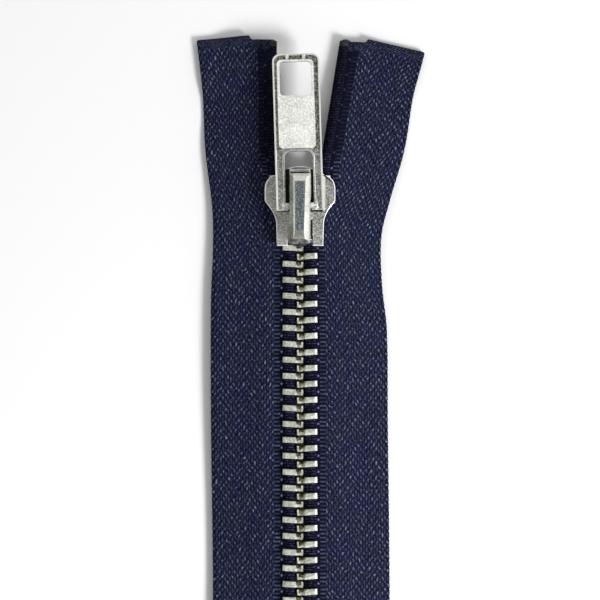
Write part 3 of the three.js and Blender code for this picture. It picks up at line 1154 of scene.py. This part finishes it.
def buildSliderBody():
    body = copyOfNode("slider_body", "slider_casting", sliderPlace)
    giveFinishes(body, "cast", "rim", "paintedShade")
    # painted shade darkens the plate beside the cover, where the pull's arms lie over it, and below the
    # arms' ends
    half, low, high = slider["paintedShade"]
    reach, armLow = slider["armShade"]
    ridgeHighlight, seamShade = slider["ridgeHighlight"], slider["seamShade"]
    for x in (-reach, -half, half, reach, *ridgeHighlight[:2], *seamShade[:2]):
        cut(body, (x, 0, 0), (1, 0, 0))
    for y in (armLow, low, high, *ridgeHighlight[2:], *seamShade[2:]):
        cut(body, (0, y, 0), (0, 1, 0))
    top = slider["plateTop"] - 0.1

    def onPlate(c, n):
        return n.z > 0.9 and top < c.z < top + 0.3

    # a strip of painted highlight along the right arm, and painted shade in the seam along the cover's
    # right side
    patches = (
        (1, ridgeHighlight),
        (2, seamShade),
        (2, (-half, half, low, high)),
        (2, (-reach, reach, armLow, low)),
    )
    for slot, (left, right, bottom, upper) in patches:
        pick(body, "FACE", lambda c, n: onPlate(c, n) and left < c.x < right and bottom < c.y < upper)
        paint(slot)
    roundEdges(body, slider["edge"], 3, 40, 1, False)
    lugHalf, lugLow, lugHigh = slider["lug"]
    pick(body, "FACE", lambda c, n: c.z > top + 0.4 and abs(c.x) < lugHalf and lugLow < c.y < lugHigh)
    paint(0)
    shadeSmooth(body, 40)
    settle(body, "cast", "slider", ["slider_body"], sliderPlace)


# Each narrowing is a place along the cover, the share of the width left there, and how far it moves down.
cover = {
    "edge": 0.07,
    "narrowing": ((0.2, 0.3, 0.4), (0.5, 0.58, 0.25), (1.1, 0.86, 0)),
    "lean": -0.1,
    "leanBelow": 2.1,
    "leftSide": -1.2,
    "crestWidths": ((2, 0.95), (10.9, 1.2)),
    "crestFrom": 7.6,
    "shadeFrom": -1.28,
    "noseEnd": 1.2,
}


def buildCap():
    cap = copyOfNode("slider_cap", "slider_cover", sliderPlace)
    giveFinishes(cap, "cap", "rim", "crest", "capShadedSide", "nose")
    # the lower end narrows to a round nose that reaches over the chain, and leans to the left
    for at, share, down in cover["narrowing"]:
        pick(cap, "VERT", lambda v: abs(v.y - at) < 0.02)
        resize(x=share)
        move(y=-down)
    pick(cap, "VERT", lambda v: v.y < cover["leanBelow"])
    move(x=cover["lean"])
    pick(cap, "VERT", lambda v: v.y < cover["leanBelow"] and v.x < cover["leftSide"])
    move(x=cover["lean"])
    # the crest widens upwards
    for at, share in cover["crestWidths"]:
        pick(cap, "VERT", lambda v: abs(v.y - at) < 0.02 and v.z > cover["crestFrom"])
        resize(x=share)
    # the outer part of the left slope gets darker metal, as painted shade
    cut(cap, (cover["shadeFrom"], 0, 0), (1, 0, -0.02))
    pick(cap, "FACE", lambda c, n: c.x < cover["shadeFrom"] and 0.05 < n.z < 0.97)
    paint(3)
    roundEdges(cap, cover["edge"], 3, 20, 1)
    # the crest's flat top gets its finish, with painted shade in the middle
    pick(cap, "FACE", lambda c, n: n.z > 0.98 and c.z > cover["crestFrom"])
    paint(2)
    # the nose gets dark metal, as painted shade
    pick(cap, "FACE", lambda c, n: c.y < cover["noseEnd"])
    paint(4)
    shadeSmooth(cap, 50)
    settle(cap, "cap", "slider", ["slider_cap"], sliderPlace)


def buildPawl():
    pawl = copyOfNode("lock_pawl", "lock_leaf", sliderPlace)
    roundEdges(pawl, 0.06, 2)
    shadeSmooth(pawl)
    settle(pawl, "spring", "lock", ["lock_pawl"], sliderPlace)


# Places are measured from the bar that the pull turns on. A plateau or window is half a width, lower
# end, upper end and corner radius; the lower rim is its width and corner; the collars are inner and
# outer end.
pull = {
    "skew": math.radians(1.7),
    "tilt": math.radians(3.5),
    "halfWidth": 4.0,
    "low": -0.75,
    "top": 25.95,
    "half": 0.55,
    "corner": 1.3,
    "rim": 0.27,
    "sink": 0.27,
    "plateau": (3.12, 9.75, 24.95, 0.7),
    "shift": -0.14,
    "window": (2.68, 18.8, 24.62, 0.6),
    "lowerWindow": (2.4, -3.0, 9.3, 1.15),
    "lowerRim": (0.28, 1.4),
    "ribs": (-1.5, 1.35),
    "ribHalf": 0.24,
    "barRadius": 0.6,
    "barLong": 6,
    "collar": (1.98, 2.7),
    "panel": (9.65, 18.75),
    "edge": 0.07,
}


def roundedBlock(name, x, y, z, corner):
    # a block whose upright edges are rounded
    block = addBlock(name, x, y, z)
    pick(block, "EDGE", lambda c, d: abs(d.z) > 0.9 * (z[1] - z[0]))
    bpy.ops.mesh.bevel(offset=corner, segments=6, affect="EDGES")
    bpy.ops.object.mode_set(mode="OBJECT")
    return block


def openLowerEnd(block):
    # cuts off what reaches past the arms' lower ends
    combine(block, addBlock("ends", (-5, 5), (-6, pull["low"]), (-1, 1)), "DIFFERENCE")


def raiseOnPull(tab):
    # the panel, which is also the frame of the upper window, two short ribs above it, and the lower
    # window's own rim, down both arms
    p = pull
    half, top, aside = p["half"], p["top"], p["shift"]
    wide, low, high, corner = p["plateau"]
    limits = (aside - wide, aside + wide), (low, high), (-0.1, half + 0.02)
    combine(tab, roundedBlock("raised", *limits, corner), "UNION")
    for at in p["ribs"]:
        limits = (at - p["ribHalf"], at + p["ribHalf"]), (high - 0.3, top - 0.12), (-0.1, half - 0.04)
        combine(tab, addBlock("rib", *limits), "UNION")
    hole, _, high, _ = p["lowerWindow"]
    edge, corner = p["lowerRim"]
    limits = (-hole - edge, hole + edge), (p["low"] - 3, high + edge), (-0.1, half - 0.03)
    windowFrame = roundedBlock("frame", *limits, corner)
    openLowerEnd(windowFrame)
    combine(tab, windowFrame, "UNION")


def openWindows(tab):
    for key, aside in (("lowerWindow", 0), ("window", pull["shift"])):
        hole, low, high, corner = pull[key]
        opening = roundedBlock(key, (aside - hole, aside + hole), (low, high), (-1, 1), corner)
        combine(tab, opening, "DIFFERENCE")


def addBar(tab):
    # the bar under the cover, with a collar at each arm
    inner, outer = pull["collar"]
    for way in (-1, 1):
        x = sorted((way * inner, way * outer))
        collar = addBlock("collar", x, (pull["low"], 0.75), (-0.5, pull["half"] - 0.06))
        pick(collar, "VERT", lambda v: v.y > 0.7 and abs(v.x) < inner + 0.1)
        move(y=-0.5)
        bpy.ops.object.mode_set(mode="OBJECT")
        combine(tab, collar, "UNION")
    bpy.ops.object.select_all(action="DESELECT")
    bpy.ops.mesh.primitive_cylinder_add(
        vertices=24, radius=pull["barRadius"], depth=pull["barLong"], rotation=(0, math.pi / 2, 0))
    bar = bpy.context.object
    bpy.ops.object.transform_apply(location=True, rotation=True, scale=True)
    combine(tab, bar, "UNION")


def modelPull():
    p = pull
    w, top, half, rim = p["halfWidth"], p["top"], p["half"], p["rim"]
    tab = roundedBlock("pull_handle", (-w, w), (p["low"] - 2, top), (-half, half), p["corner"])
    openLowerEnd(tab)
    # an outer rim is left round the sunk middle
    limits = (rim - w, w - rim), (p["low"] - 2, top - rim), (half - p["sink"], 1)
    combine(tab, roundedBlock("pocket", *limits, p["corner"] - rim), "DIFFERENCE")
    raiseOnPull(tab)
    openWindows(tab)
    addBar(tab)
    pickAll(tab)
    bpy.ops.mesh.remove_doubles(threshold=0.005)
    bpy.ops.mesh.dissolve_limited(angle_limit=math.radians(1))
    bpy.ops.object.mode_set(mode="OBJECT")
    return tab


def paintPull(tab):
    giveFinishes(tab, "pull", "rim", "panel", "groove")
    half = pull["half"]
    roundEdges(tab, pull["edge"], 2, 35, 1, False)
    panelLow, panelHigh = pull["panel"]
    for y in (panelHigh, panelLow):
        cut(tab, (0, y, 0), (0, 1, 0))

    def onRims(c):
        return abs(c.z - half) < 0.01 or c.y > panelHigh and c.z > half - 0.06

    # the rims' flat tops get the paler metal that paints highlights
    pick(tab, "FACE", lambda c, n: n.z > 0.95 and onRims(c))
    paint(1)
    pick(tab, "FACE", lambda c, n: n.z > 0.95 and c.z > half + 0.01)
    paint(2)
    # the sunk groove gets darker metal, as painted shade
    sunk = half - pull["sink"] + 0.03
    pick(tab, "FACE", lambda c, n: n.z > 0.9 and 0 < c.z < sunk and c.y > panelLow)
    paint(3)


def buildPull():
    tab = modelPull()
    paintPull(tab)
    shadeSmooth(tab, 35)
    place = Matrix.Translation((0, chain["sliderY"] + slider["pivotAt"], slider["pivotZ"]))
    place = place @ Matrix.Rotation(pull["skew"], 4, "Z") @ Matrix.Rotation(-pull["tilt"], 4, "X")
    settle(tab, "pull", "pull", ["pull_tab"], place)


buildSliderBody()
buildCap()
buildPawl()
buildPull()
print("slider made")


# Floor

def addFloor():
    bpy.ops.object.select_all(action="DESELECT")
    bpy.ops.mesh.primitive_plane_add(size=3, location=(0, 0, -view["floorDrop"] * mm))
    floor = bpy.context.object
    floor.name = "floor"
    f = Finish("white_floor")
    white = f.close(Base_Color=(0.8, 0.8, 0.81, 1), Roughness=0.9, Specular_IOR_Level=0.1)
    floor.data.materials.append(white)


addFloor()

print("object finished")
